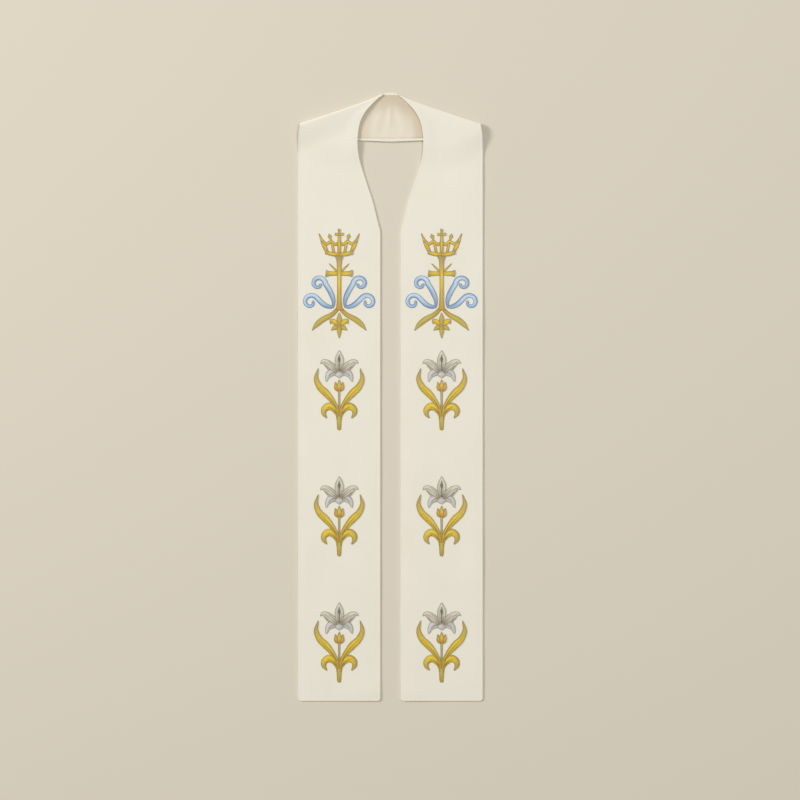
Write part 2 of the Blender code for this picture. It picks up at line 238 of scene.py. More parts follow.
STAMEN = (Point(0, 38, 1.3), Point(0, 54, 1.0), Point(0, 61.5, 2.3), Point(0, 69, 0.5))
PETAL_VEINS = (
    (Point(1.8, 38, 0.9), Point(3.9, 50, 0.8), Point(3.4, 62, 0.4)),
    (Point(3, 36, 1.2), Point(13, 44, 1.0), Point(22, 51.5, 0.8), Point(29, 55.5, 0.4)),
    (Point(3, 39, 0.9), Point(11, 47, 0.8), Point(19, 54, 0.4)),
    (Point(6, 35, 0.9), Point(15, 40.5, 0.7), Point(23, 47.5, 0.4)),
    (Point(5, 36, 0.8), Point(14, 34.5, 0.7), Point(20, 29, 0.4)),
)
LEAF_VEINS = (
    (Point(5.2, -36, 0.7), Point(13, -21.5, 0.6), Point(25.5, -6.5, 0.6), Point(37.5, 6, 0.3)),
    (Point(5.6, -45, 0.7), Point(12, -36.5, 0.6), Point(20, -32.5, 0.3)),
)

CROWN_BAND = (
    Point(PAST_MIDDLE, 55.2, 3.4), Point(0, 55.2, 3.4), Point(13, 56.2, 3.4),
    Point(25.5, 59.5, 3.4),
)
CROWN_GARLAND = (
    Point(PAST_MIDDLE, 78.6, 2.6), Point(0, 79, 2.6), Point(8, 75, 2.6),
    Point(16, 81, 2.4), Point(25, 76, 2.6), Point(33, 82, 2.4),
)
CROWN_MIDDLE_RAY = (Point(0, 55, 3.0), Point(0, 80, 2.8), Point(0, 98, 1.8), Point(0, 104, 2.2))
CROWN_TOP_ARM = (Point(PAST_MIDDLE, 95, 1.8), Point(0, 95, 1.8), Point(7, 95, 2.4))
CROWN_INNER_RAY = (
    Point(10, 56, 2.4), Point(14, 76, 2.2), Point(17, 86, 1.6), Point(18.4, 90.5, 3.6),
    Point(19.6, 94.5, 0.8),
)
CROWN_OUTER_RAY = (Point(22.6, 58, 2.6), Point(30, 74, 3.8), Point(39, 95, 0.8))

CROSS_SHAFT = (
    Point(0, -54, 8.5), Point(0, -46, 5.0), Point(0, -20, 3.6), Point(0, 18, 3.6),
    Point(0, 42, 4.6), Point(0, 50, 7.5),
)
CROSS_ARM = (
    Point(PAST_MIDDLE, 18, 3.4), Point(0, 18, 3.4), Point(18, 18, 4.4), Point(25, 18, 6.5),
)
CROSS_RAY = (Point(1, 19, 1.6), Point(9, 27, 1.6), Point(18, 36, 0.6))
FOOT_LEAF = (
    Point(2, -50, 3.0), Point(14, -62, 4.2), Point(32, -72, 5.2),
    Point(44, -82, 4.4), Point(52, -92, 0.8),
)
FLEURON_UP = (Point(0, -84, 3.0), Point(0, -70, 4.4), Point(0, -60, 0.7))
FLEURON_DOWN = (Point(0, -84, 3.6), Point(0, -95, 4.0), Point(0, -107, 0.8))
FLEURON_SIDE = (Point(0, -84, 3.0), Point(9, -77, 4.8), Point(15.5, -74, 3.0), Point(17, -79, 0.8))
FLEURON_LOW_SIDE = (Point(0, -85, 3.0), Point(8.5, -88, 4.4), Point(14.5, -92, 1.0))

# A frond's curl: its centre, its radii and half widths in millimetres, and its angles in degrees.
Spiral = namedtuple(
    "Spiral", "x y first_radius last_radius first_angle last_angle first_half_width last_half_width"
)
LOW_CURL = Spiral(56, -38, 15, 4.5, 150, -200, 4.6, 2.2)
HIGH_CURL = Spiral(41, -2, 14, 4.5, 180, -170, 4.6, 2.2)
SPIRAL_STEPS = 60
LOW_FROND_FOOT = (Point(9.5, -45.5, 2.2), Point(18, -47, 3.4), Point(30, -42.5, 4.6))
HIGH_FROND_FOOT = (
    Point(11, -46, 1.8), Point(11.5, -34, 3.4), Point(15.5, -22, 4.6), Point(21, -11.5, 4.6),
)

# The view: straight above, a little to the right of the stole's centre line
VIEW_CENTRE = (0.0189, -0.0061)
VIEW_WIDTH = 1.568
LENS_MM = 85
SENSOR_MM = 36

# Light and room
FLOOR_SIZE = 12.0
ROOM_TONE = (1.0, 0.99, 0.97)
ROOM_STRENGTH = 0.26
Light = namedtuple("Light", "name place size power")
LIGHTS = (
    Light("key light", (-7.0, 3.2, 3.9), 2.2, 570.0),
    Light("top light", (1.6, 1.2, 6.0), 3.4, 190.0),
)

# Colours are shares of red, green and blue light, from 0 to 1.
FLOOR_TONE = (0.66, 0.60, 0.49)
FLOOR_ROUGHNESS = 0.9

# A cloth's light tone, its deeper tone for random mottling and for painted shade in its weave's low
# places, its painted shade tone under the fold and beside the neck edge, and its weave and finish
Cloth = namedtuple("Cloth", "name light shade under_fold pitch roughness sheen")
CLOTHS = {
    "ivory": Cloth(
        "ivory face cloth", (0.800, 0.765, 0.655), (0.760, 0.715, 0.590), None, 0.0006, 0.78, 0.12
    ),
    "lining": Cloth(
        "cream satin lining", (0.760, 0.695, 0.560), (0.700, 0.625, 0.490), (0.575, 0.487, 0.345),
        0.0004, 0.46, 0.20,
    ),
}
# How much painted shade the weave's low places take, as a share of the deeper tone
WEAVE_PAINTED_SHADE = 0.35
WEAVE_BUMP = 0.35
WEAVE_DEPTH = 0.00012
MOTTLE_PATCHES = 14.0
FINE_MOTTLE_TIMES = 22.0
FINE_MOTTLE_SHARE = 0.35
MOTTLE_TONE = 1.4
MOTTLE_START = -0.5
ROUGHNESS_SPREAD = 0.12
CLOTH_SHEEN_ROUGHNESS = 0.5
CLOTH_SHINE = 0.3

# How the tones of a thread are laid along and across a stroke
STREAKS_PER_METRE = 45.0
STREAKS_ACROSS = 5.0
STREAK_STEP_PER_STROKE = 7.3
PAINTED_EDGE_SHADE_START = 0.25
STITCH_TONE = 0.14
ROOT_SLOPE = -2.4
ROOT_SHARE = 0.75
TIP_SLOPE = 2.6
TIP_START = -1.6
TIP_SHARE = 0.85
STRAND_BUMP = 0.5
STRAND_DEPTH = 0.00006
THREAD_ROUGHNESS = 0.42
THREAD_SHINE = 0.45
THREAD_SHEEN = 0.10

# A thread's light, deep, root and tip tones, and how far it goes deep: at a stroke's edges as
# painted shade where its dome turns away, on one side, in streaks and all over
Thread = namedtuple("Thread", "light deep root tip edge tilt streaks depth")


def plain_thread(light, deep):
    """A thin outline's thread, with no shading but its streaks."""
    return Thread(light, deep, deep, light, 0.0, 0.0, 0.6, 0.0)


THREADS = {
    "gold": Thread(
        (0.73, 0.52, 0.025), (0.36, 0.22, 0.006), (0.40, 0.19, 0.004), (0.33, 0.255, 0.11),
        0.55, 0.35, 1.6, 0.05,
    ),
    "olive": Thread(
        (0.52, 0.41, 0.060), (0.31, 0.23, 0.04), (0.42, 0.25, 0.01), (0.44, 0.36, 0.07),
        0.50, 0.30, 0.9, 0.05,
    ),
    "amber": Thread(
        (0.60, 0.36, 0.09), (0.34, 0.17, 0.03), (0.40, 0.19, 0.01), (0.40, 0.25, 0.07),
        0.50, 0.30, 0.9, 0.05,
    ),
    "dun": Thread(
        (0.44, 0.36, 0.250), (0.27, 0.21, 0.14), (0.36, 0.22, 0.04), (0.48, 0.40, 0.15),
        0.40, 0.30, 0.9, 0.05,
    ),
    "silver": Thread(
        (0.66, 0.61, 0.50), (0.27, 0.235, 0.170), (0.31, 0.275, 0.20), (0.66, 0.62, 0.52),
        0.50, 0.10, 2.4, 0.05,
    ),
    "mist": Thread(
        (0.58, 0.57, 0.53), (0.35, 0.34, 0.32), (0.36, 0.35, 0.32), (0.52, 0.51, 0.50),
        0.40, 0.20, 1.5, 0.05,
    ),
    "blue": Thread(
        (0.52, 0.67, 0.77), (0.12, 0.225, 0.42), (0.12, 0.21, 0.38), (0.20, 0.34, 0.56),
        0.45, 0.95, 1.4, 0.10,
    ),
    "dark gold": plain_thread((0.33, 0.24, 0.040), (0.26, 0.18, 0.025)),
    "taupe": plain_thread((0.34, 0.30, 0.220), (0.26, 0.22, 0.15)),
    "umber": plain_thread((0.20, 0.18, 0.125), (0.16, 0.14, 0.10)),
    "deep blue": plain_thread((0.13, 0.22, 0.37), (0.09, 0.17, 0.30)),
}
OUTLINES = {
    "gold": "dark gold", "olive": "dark gold", "amber": "dark gold", "dun": "dark gold",
    "silver": "taupe", "mist": "taupe", "blue": "deep blue",
}


def smoothstep(share):
    """Eased from 0 to 1, flat at both ends."""
    share = np.clip(share, 0.0, 1.0)
    return share * share * (3.0 - 2.0 * share)


def through(rows, steps):
    """The rows with steps - 1 more between each two, on one smooth curve through them all."""
    table = np.array(rows, float)
    before = np.vstack([2 * table[0] - table[1], table, 2 * table[-1] - table[-2]])
    found = []
    for i in range(len(table) - 1):
        p0, p1, p2, p3 = before[i : i + 4]
        for k in range(steps):
            t = k / steps
            found.append(
                0.5 * (2 * p1 + (p2 - p0) * t + (2 * p0 - 5 * p1 + 4 * p2 - p3) * t**2
                       + (3 * p1 - p0 - 3 * p2 + p3) * t**3)
            )
    return np.array([*found, table[-1]])


# The form of the cloth


def hidden_edge_y(x):
    """Where the outer edge of the back part lies, under the front."""
    edge = sorted((rib.outer_x, TOP_Y - rib.outer_drop) for rib in BACK_RIBS)
    return np.interp(x, [point[0] for point in edge], [point[1] for point in edge])


def fold_frame():
    """The fold line's neck end, its direction, its length, and its outward normal."""
    fold = FRONT_RIBS[-1]
    neck = np.array([fold.neck_x, TOP_Y - fold.neck_drop])
    outer = np.array([fold.outer_x, TOP_Y - fold.outer_drop])
    length = np.linalg.norm(outer - neck)
    along = (outer - neck) / length
    return neck, along, length, np.array([-along[1], along[0]])


def fold_radius(share):
    """The radius of the cloth's turn at a share of the way along the fold, from the neck."""
    return FOLD_RADIUS_NECK + (FOLD_RADIUS_OUTER - FOLD_RADIUS_NECK) * share


def swell_height(points):
    """How far the laid cloth stands off the surface in its soft swells."""
    height = np.zeros(len(points))
    for swell in PANEL_SWELLS:
        across = (points[:, 0] - swell.x) / swell.reach_x
        down = (TOP_Y - points[:, 1] - swell.drop) / swell.reach_drop
        height += swell.height * np.exp(-(across**2) - down**2)
    return height


def front_height(points, from_neck_edge):
    """The middle of the front's wall: flat on the floor, over the back part, full at the fold."""
    neck, along, length, normal = fold_frame()
    share = np.clip((points - neck) @ along / length, 0.0, 1.0)
    below_fold = np.maximum(-(points - neck) @ normal, 0.0)
    outside_edge = hidden_edge_y(points[:, 0]) - LAYER_MARGIN - points[:, 1]
    layers = UNDER_LAYERS * smoothstep(1.0 - outside_edge / LAYER_RAMP)
    puff = 2 * fold_radius(share) - UNDER_LAYERS
    puff *= 1.0 - smoothstep(below_fold / FOLD_PUFF_REACH)
    by_neck = smoothstep(below_fold / NECK_LIFT_BELOW_FOLD)
    by_neck *= 1.0 - smoothstep(from_neck_edge / NECK_LIFT_REACH)
    by_neck *= 1.0 - smoothstep((TOP_Y - points[:, 1] - NECK_LIFT_END_DROP) / NECK_LIFT_END_RUN)
    return WALL / 2 + layers + puff + NECK_LIFT * by_neck + swell_height(points)


def pressed_height(from_edge):
    """The shallow line pressed into the cloth where its turned edge ends."""
    return -PRESSED_DEPTH * np.exp(-(((from_edge - PRESSED_LINE) / PRESSED_HALF_WIDTH) ** 2))


def across(rib, neck_inset=0.0, outer_inset=0.0):
    """Plan points across a rib, with their share of the way and distances to the two edges."""
    neck_x, neck_drop, outer_x, outer_drop, sag = rib
    neck = np.array([neck_x, TOP_Y - neck_drop])
    outer = np.array([outer_x, TOP_Y - outer_drop])
    length = np.linalg.norm(outer - neck)
    near_neck = neck_inset + np.array(EDGE_COLUMNS)
    near_outer = length - outer_inset - np.array(EDGE_COLUMNS)[::-1]
    middle = np.linspace(near_neck[-1], near_outer[0], MIDDLE_COLUMNS + 2)[1:-1]
    way = np.concatenate([near_neck, middle, near_outer])
    share = way / length
    points = neck + np.outer(share, outer - neck)
    points -= np.outer(FOLD_SAG * sag * np.sin(math.pi * share**FOLD_SAG_SKEW), fold_frame()[3])
    return points, share, way, length - way


def with_height(points, height):
    """The plan points as points in space."""
    return np.column_stack([points, np.broadcast_to(height, len(points))])


def hem_ribs():
    """Ribs from the hem up the straight panel, with rounded corners at the hem."""
    ribs = []
    for k in range(CORNER_ROWS):
        angle = math.radians(90) * k / CORNER_ROWS
        inset = HEM_CORNER_RADIUS * (1.0 - math.sin(angle))
        drop = LENGTH - HEM_CORNER_RADIUS * (1.0 - math.cos(angle))
        ribs.append(Rib(INNER_X + inset, drop, OUTER_X - inset, drop, 0.0))
    ribs += [Rib(INNER_X, LENGTH - above, OUTER_X, LENGTH - above, 0.0) for above in HEM_ROWS]
    lowest, highest = LENGTH - HEM_ROWS[-1], FRONT_RIBS[0].neck_drop
    rows = round((lowest - highest) / ROW_PITCH)
    for drop in np.linspace(lowest, highest, rows, endpoint=False)[1:]:
        ribs.append(Rib(INNER_X, drop, OUTER_X, drop, 0.0))
    return ribs


def half_rows():
    """The middle surface of a half, as rows of points from the hem to the centre back."""
    rows = []
    for rib in [*hem_ribs(), *through(FRONT_RIBS, STEPS_PER_RIB)]:
        points, _, from_neck_edge, from_outer_edge = across(rib)
        from_hem = points[:, 1] - TOP_Y + LENGTH
        from_edge = np.minimum(np.minimum(from_neck_edge, from_outer_edge), from_hem)
        height = front_height(points, from_neck_edge) + pressed_height(from_edge)
        rows.append(with_height(points, height))
    axis, share, _, _ = across(FRONT_RIBS[-1])
    radius = fold_radius(share)
    for k in range(1, FOLD_ROWS):
        angle = math.pi * (0.5 - k / FOLD_ROWS)
        points = axis + np.outer(radius * math.cos(angle), (0.0, 1.0))
        rows.append(with_height(points, WALL / 2 + radius * (1.0 + math.sin(angle))))
    for rib in through(BACK_RIBS, STEPS_PER_RIB):
        points, _, _, from_outer_edge = across(rib)
        by_edge = 1.0 - smoothstep((from_outer_edge - RIM_SLOPE[0]) / (RIM_SLOPE[1] - RIM_SLOPE[0]))
        off_the_fold = 1.0 - smoothstep(rib[-1])
        rows.append(with_height(points, WALL / 2 + RIM_RISE * by_edge * off_the_fold))
    return rows


def crease_height(points, side):
    """The creases of the neck lining. They end a little higher on the left side."""
    height = np.zeros(len(points))
    for crease in LINING_CREASES:
        top = np.array([crease.top_x, TOP_Y - crease.top_drop])
        low = np.array([crease.low_x, TOP_Y - crease.low_drop + LEFT_CREASE_RISE * (side < 0)])
        run = low - top
        share = np.clip((points - top) @ run / (run @ run), 0.0, 1.0)
        away = np.linalg.norm(points - top - np.outer(share, run), axis=1)
        height += crease.height * np.exp(-((away / crease.half_width) ** 2))
    return height


def lining_rows(side):
    """The lining on the back part, inside the turned edge of the outer cloth, clear of the fold."""
    rows = []
    for rib in through(BACK_RIBS[1:], STEPS_PER_RIB):
        points = across(rib, TURNED_EDGE, LINING_LOW_MARGIN)[0]
        height = WALL + SEAM_GAP + LINING_WALL / 2 + crease_height(points, side)
        rows.append(with_height(points, height))
    return rows


def fold_shade(points):
    """How much painted shade the lining takes: most by the fold and the neck edge, none in the open.
    """
    neck_edge = [(rib.neck_x, TOP_Y - rib.neck_drop) for rib in NECK_CURVE_RIBS]
    edge = through(neck_edge, SHADE_CURVE_STEPS)
    place = np.column_stack([np.abs(points[:, 0]), points[:, 1]])
    away = np.linalg.norm(place[:, None] - edge[None], axis=2).min(axis=1)
    by_edge = 1.0 - smoothstep(away / SHADE_REACH)
    by_edge *= np.where(points[:, 0] < 0, SHADE_ON_THE_LEFT, 1.0)
    by_fold = 1.0 - smoothstep((TOP_Y - place[:, 1] - SHADE_TOP) / SHADE_DROP)
    return 1.0 - (1.0 - by_edge) * (1.0 - SHADE_BY_FOLD * by_fold)


# Modelling by hand


def only(obj):
    """Makes obj the one selected and active object."""
    bpy.ops.object.select_all(action="DESELECT")
    obj.select_set(True)
    bpy.context.view_layer.objects.active = obj


def apply_modifiers(obj):
    """Applies every modifier of obj, in order."""
    only(obj)
    for modifier in list(obj.modifiers):
        bpy.ops.object.modifier_apply(modifier=modifier.name)


def give_attribute(mesh, name, values):
    """Gives each point of the mesh its value, for a material to read."""
    mesh.attributes.new(name, "FLOAT", "POINT").data.foreach_set("value", values)


def move_where(obj, test, offset):
    """Moves the points of obj whose place passes the test, in edit mode."""
    only(obj)
    bpy.ops.object.mode_set(mode="EDIT")
    bpy.ops.mesh.select_all(action="DESELECT")
    bpy.ops.object.mode_set(mode="OBJECT")
    for vertex in obj.data.vertices:
        vertex.select = bool(test(vertex.co))
    bpy.ops.object.mode_set(mode="EDIT")
    bpy.ops.transform.translate(value=offset)
    bpy.ops.object.mode_set(mode="OBJECT")


def cloth_run(rows, axis):
    """How many metres of cloth lie between each point and the first one, along the axis."""
    steps = np.diff(rows, axis=axis, prepend=np.take(rows, [0], axis=axis))
    return np.cumsum(np.linalg.norm(steps, axis=2), axis=axis)


def sheet_of_rows(name, rows, side, wall, materials):
    """A wall of cloth through the rows, with its UV map in metres of cloth across and along."""
    rows = np.array(rows) * (side, 1, 1)
    count, columns = rows.shape[:2]
    across_cloth, along_cloth = cloth_run(rows, 1), cloth_run(rows, 0)
    mesh = bpy.data.meshes.new(name)
    sheet = bmesh.new()
    uv_map = sheet.loops.layers.uv.new("UVMap")
    grid = [[sheet.verts.new(point) for point in row] for row in rows]
    for i in range(count - 1):
        for j in range(columns - 1):
            corners = [(i, j), (i, j + 1), (i + 1, j + 1), (i + 1, j)]
            if side < 0:
                corners.reverse()
            face = sheet.faces.new([grid[a][b] for a, b in corners])
            face.smooth = True
            for loop, (a, b) in zip(face.loops, corners):
                loop[uv_map].uv = (across_cloth[a, b], along_cloth[a, b])
    sheet.to_mesh(mesh)
    sheet.free()
    for material in materials:
        mesh.materials.append(material)
    obj = bpy.data.objects.new(name, mesh)
    bpy.context.scene.collection.objects.link(obj)
    thick = obj.modifiers.new("cloth wall", "SOLIDIFY")
    thick.thickness = wall
    thick.offset = 0.0
    thick.material_offset = len(materials) - 1
    rounded = obj.modifiers.new("pressed edge", "BEVEL")
    rounded.width = EDGE_ROUNDING * wall / WALL
    rounded.segments = EDGE_ROUNDING_STEPS
    rounded.limit_method = "ANGLE"
    rounded.angle_limit = SHARP_EDGE_ANGLE
    apply_modifiers(obj)
    bpy.ops.object.shade_smooth()
    places = np.array([vertex.co for vertex in obj.data.vertices])
    give_attribute(obj.data, "fold_shade", fold_shade(places))
    return obj


# Materials


def add(tree, kind, settings=None, **inputs):
    """A new node with its settings, and its inputs set or linked by name, or by number as i0."""
    node = tree.nodes.new(kind)
    for key, value in (settings or {}).items():
        setattr(node, key, value)
    for key, value in inputs.items():
        by_number = key[0] == "i" and key[1:].isdigit()
        socket = node.inputs[int(key[1:]) if by_number else key]
        if isinstance(value, bpy.types.NodeSocket):
            tree.links.new(value, socket)
        else:
            socket.default_value = value
    return node


def maths(tree, operation, *values, clamp=False):
    """The result of a Math node."""
    inputs = {f"i{number}": value for number, value in enumerate(values)}
    settings = {"operation": operation, "use_clamp": clamp}
    return add(tree, "ShaderNodeMath", settings, **inputs).outputs[0]


def noise(tree, place, scale, detail, roughness):
    """The value of a Noise Texture at a place."""
    inputs = {"Vector": place, "Scale": scale, "Detail": detail, "Roughness": roughness}
    return add(tree, "ShaderNodeTexNoise", None, **inputs).outputs[0]


def blended(tree, share, low, high):
    """A colour between low and high."""
    node = add(tree, "ShaderNodeMix", {"data_type": "RGBA"}, i0=share)
    for number, colour in ((6, low), (7, high)):
        if isinstance(colour, bpy.types.NodeSocket):
            tree.links.new(colour, node.inputs[number])
        else:
            node.inputs[number].default_value = (*colour, 1.0)
    return node.outputs[2]


def new_group(name, inputs, outputs):
    """A new node group with its input and output nodes."""
    group = bpy.data.node_groups.new(name, "ShaderNodeTree")
    for socket, kind, value in inputs:
        made = group.interface.new_socket(socket, in_out="INPUT", socket_type=f"NodeSocket{kind}")
        if value is not None:
            made.default_value = value
    for socket, kind in outputs:
        group.interface.new_socket(socket, in_out="OUTPUT", socket_type=f"NodeSocket{kind}")
    return group, group.nodes.new("NodeGroupInput"), group.nodes.new("NodeGroupOutput")


def weave_group():
    """Over-and-under threads on a UV map in metres: their height, and a mask of the low places."""
    group, given, made = new_group(
        "over and under weave",
        [("UV", "Vector", None), ("Thread Pitch", "Float", 0.0006)],
        [("Height", "Float"), ("Low", "Float")],
    )
    parts = add(group, "ShaderNodeSeparateXYZ", None, i0=given.outputs["UV"])
    turns = maths(group, "DIVIDE", math.pi, given.outputs["Thread Pitch"])
    warp = maths(group, "SINE", maths(group, "MULTIPLY", parts.outputs[0], turns))
    weft = maths(group, "SINE", maths(group, "MULTIPLY", parts.outputs[1], turns))
    height = maths(group, "MULTIPLY_ADD", maths(group, "MULTIPLY", warp, weft), 0.5, 0.5)
    group.links.new(height, made.inputs["Height"])
    group.links.new(maths(group, "SUBTRACT", 1.0, height), made.inputs["Low"])
    return group


def mottle_group():
    """Soft uneven tone over a piece, from broad to fine."""
    group, given, made = new_group(
        "soft mottling",
        [("Place", "Vector", None), ("Patches per Metre", "Float", MOTTLE_PATCHES)],
        [("Tone", "Float")],
    )
    place, patches = given.outputs["Place"], given.outputs["Patches per Metre"]
    broad = noise(group, place, patches, detail=2.0, roughness=0.5)
    fine_patches = maths(group, "MULTIPLY", patches, FINE_MOTTLE_TIMES)
    fine = noise(group, place, fine_patches, detail=3.0, roughness=0.6)
    broad_part = maths(group, "MULTIPLY", broad, 1.0 - FINE_MOTTLE_SHARE)
    tone = maths(group, "MULTIPLY_ADD", fine, FINE_MOTTLE_SHARE, broad_part)
    group.links.new(tone, made.inputs["Tone"])
    return group


def stitch_group():
    """A stroke's edge mask for painted shade, its streaks and stitches, on a UV map in metres along
    and 0 to 1 across.
    """
    group, given, made = new_group(
        "satin stitches",
        [("UV", "Vector", None), ("Stroke", "Float", 0.0), ("Stitch Pitch", "Float", STITCH_PITCH)],
        [("Edge", "Float"), ("Side", "Float"), ("Streaks", "Float"), ("Stitch Tone", "Float"),
         ("Strand Height", "Float")],
    )
    parts = add(group, "ShaderNodeSeparateXYZ", None, i0=given.outputs["UV"])
    along, across_stroke = parts.outputs[0], parts.outputs[1]
    pitch = given.outputs["Stitch Pitch"]
    from_middle = maths(group, "ABSOLUTE", maths(group, "MULTIPLY_ADD", across_stroke, 2.0, -1.0))
    # The mask of painted shade at the stroke's edges, where its dome turns away
    edge = add(
        group, "ShaderNodeMapRange", {"interpolation_type": "SMOOTHSTEP"},
        i0=from_middle, i1=PAINTED_EDGE_SHADE_START, i2=1.0,
    )
    lengthwise = add(
        group, "ShaderNodeCombineXYZ", None,
        i0=maths(group, "MULTIPLY", along, STREAKS_PER_METRE),
        i1=maths(group, "MULTIPLY", across_stroke, STREAKS_ACROSS),
        i2=maths(group, "MULTIPLY", given.outputs["Stroke"], STREAK_STEP_PER_STROKE),
    )
    streaks = noise(group, lengthwise.outputs[0], 1.0, detail=2.0, roughness=0.6)
    number = maths(group, "FLOOR", maths(group, "DIVIDE", along, pitch))
    tone = add(group, "ShaderNodeTexWhiteNoise", {"noise_dimensions": "1D"}, W=number)
    turns = maths(group, "DIVIDE", 2.0 * STRANDS_PER_STITCH * math.pi, pitch)
    strands = maths(group, "SINE", maths(group, "MULTIPLY", along, turns))
    group.links.new(edge.outputs[0], made.inputs["Edge"])
    group.links.new(across_stroke, made.inputs["Side"])
    group.links.new(streaks, made.inputs["Streaks"])
    group.links.new(tone.outputs[0], made.inputs["Stitch Tone"])
    group.links.new(maths(group, "MULTIPLY_ADD", strands, 0.5, 0.5), made.inputs["Strand Height"])
    return group


def new_material(name, colour):
    """A new material with its node tree and its shader."""
    material = bpy.data.materials.new(name)
    material.use_nodes = True
    material.diffuse_color = (*colour, 1.0)
    return material, material.node_tree, material.node_tree.nodes["Principled BSDF"]


def bump(tree, height, strength, distance):
    """The surface's direction with a small height on it."""
    inputs = {"Strength": strength, "Distance": distance, "Height": height}
    return add(tree, "ShaderNodeBump", None, **inputs).outputs[0]


def point_value(tree, name):
    """A value that give_attribute has given to the mesh."""
    return add(tree, "ShaderNodeAttribute", {"attribute_name": name}).outputs["Fac"]


def cloth_material(cloth, groups):
    """Woven cloth: a small weave, soft mottling in its tone, painted shade in the weave's low places
    and under the fold, and a little sheen.
    """
    material, tree, shader = new_material(cloth.name, cloth.light)
    places = add(tree, "ShaderNodeTexCoord").outputs
    weave = add(tree, "ShaderNodeGroup", {"node_tree": groups["weave"]}, UV=places["UV"])
    weave.inputs["Thread Pitch"].default_value = cloth.pitch
    mottle = add(tree, "ShaderNodeGroup", {"node_tree": groups["mottle"]}, Place=places["Object"])
    uneven = maths(tree, "MULTIPLY_ADD", mottle.outputs["Tone"], MOTTLE_TONE, MOTTLE_START)
    # The weave's low places take painted shade, on top of the random mottling
    share = maths(tree, "MULTIPLY_ADD", weave.outputs["Low"], WEAVE_PAINTED_SHADE, uneven, clamp=True)
    tone = blended(tree, share, cloth.light, cloth.shade)
    # Painted shade under the fold and beside the front's neck edge, by the fold_shade mask
    if cloth.under_fold:
        tone = blended(tree, point_value(tree, "fold_shade"), tone, cloth.under_fold)
    tree.links.new(tone, shader.inputs["Base Color"])
    least_rough = cloth.roughness - ROUGHNESS_SPREAD / 2
    rough = maths(tree, "MULTIPLY_ADD", mottle.outputs["Tone"], ROUGHNESS_SPREAD, least_rough)
    tree.links.new(rough, shader.inputs["Roughness"])
    threads = bump(tree, weave.outputs["Height"], WEAVE_BUMP, WEAVE_DEPTH)
    tree.links.new(threads, shader.inputs["Normal"])
    shader.inputs["Sheen Weight"].default_value = cloth.sheen
    shader.inputs["Sheen Roughness"].default_value = CLOTH_SHEEN_ROUGHNESS
    shader.inputs["Specular IOR Level"].default_value = CLOTH_SHINE
    return material


def thread_material(name, groups, thread):
    """Satin stitches in a thread's tones, with painted shade at the edges, deeper in streaks, from
    root to tip.
    """
    material, tree, shader = new_material(name, thread.light)
    stitches = add(
        tree, "ShaderNodeGroup", {"node_tree": groups["stitch"]},
        UV=add(tree, "ShaderNodeTexCoord").outputs["UV"], Stroke=point_value(tree, "stroke_number"),
    )
    from_middle = maths(tree, "SUBTRACT", stitches.outputs["Side"], 0.5)
    side = maths(tree, "MULTIPLY", from_middle, thread.tilt)
    # Painted shade at the stroke's edges, and the deeper side
    deepness = maths(tree, "MULTIPLY_ADD", stitches.outputs["Edge"], thread.edge, side)
    streaks = maths(tree, "SUBTRACT", stitches.outputs["Streaks"], 0.5)
    deepness = maths(tree, "MULTIPLY_ADD", streaks, thread.streaks, deepness)
    deepness = maths(tree, "MULTIPLY_ADD", stitches.outputs["Stitch Tone"], STITCH_TONE, deepness)
    deepness = maths(tree, "ADD", deepness, thread.depth, clamp=True)
    tone = blended(tree, deepness, thread.light, thread.deep)
    along = point_value(tree, "share_along")
    root = maths(tree, "MULTIPLY_ADD", along, ROOT_SLOPE, 1.0, clamp=True)
    tone = blended(tree, maths(tree, "MULTIPLY", root, ROOT_SHARE), tone, thread.root)
    tip = maths(tree, "MULTIPLY_ADD", along, TIP_SLOPE, TIP_START, clamp=True)
    tone = blended(tree, maths(tree, "MULTIPLY", tip, TIP_SHARE), tone, thread.tip)
    tree.links.new(tone, shader.inputs["Base Color"])
    strands = bump(tree, stitches.outputs["Strand Height"], STRAND_BUMP, STRAND_DEPTH)
    tree.links.new(strands, shader.inputs["Normal"])
    shader.inputs["Roughness"].default_value = THREAD_ROUGHNESS
    shader.inputs["Specular IOR Level"].default_value = THREAD_SHINE
    shader.inputs["Sheen Weight"].default_value = THREAD_SHEEN
    return material


def floor_material():
    """A pale dull floor."""
    material, _, shader = new_material("pale floor", FLOOR_TONE)
    shader.inputs["Base Color"].default_value = (*FLOOR_TONE, 1.0)
    shader.inputs["Roughness"].default_value = FLOOR_ROUGHNESS
    return material


def all_materials():
    """Each cloth's and each thread's material, by its key."""
    groups = {"weave": weave_group(), "mottle": mottle_group(), "stitch": stitch_group()}
    materials = {key: cloth_material(cloth, groups) for key, cloth in CLOTHS.items()}
    for name, thread in THREADS.items():
        materials[name] = thread_material(f"{name} thread", groups, thread)
    return materials


# Embroidery


def mirrored(line):
    """The line on the other side of the motif's middle line."""
    return line * (-1, 1, 1)


def frond_line(foot, spiral):
    """The line of a foot that runs smoothly into a spiral, narrowing towards its middle."""
    share = np.linspace(0.0, 1.0, SPIRAL_STEPS + 1)
    angle = np.radians(spiral.first_angle + (spiral.last_angle - spiral.first_angle) * share)
    radius = spiral.first_radius + (spiral.last_radius - spiral.first_radius) * share
    width = spiral.first_half_width + (spiral.last_half_width - spiral.first_half_width) * share
    curl_x = spiral.x + radius * np.cos(angle)
    curl_y = spiral.y + radius * np.sin(angle)
    curl = np.column_stack([curl_x, curl_y, width])
    return np.vstack([through([*foot, curl[0]], SPINE_STEPS)[:-1], curl])


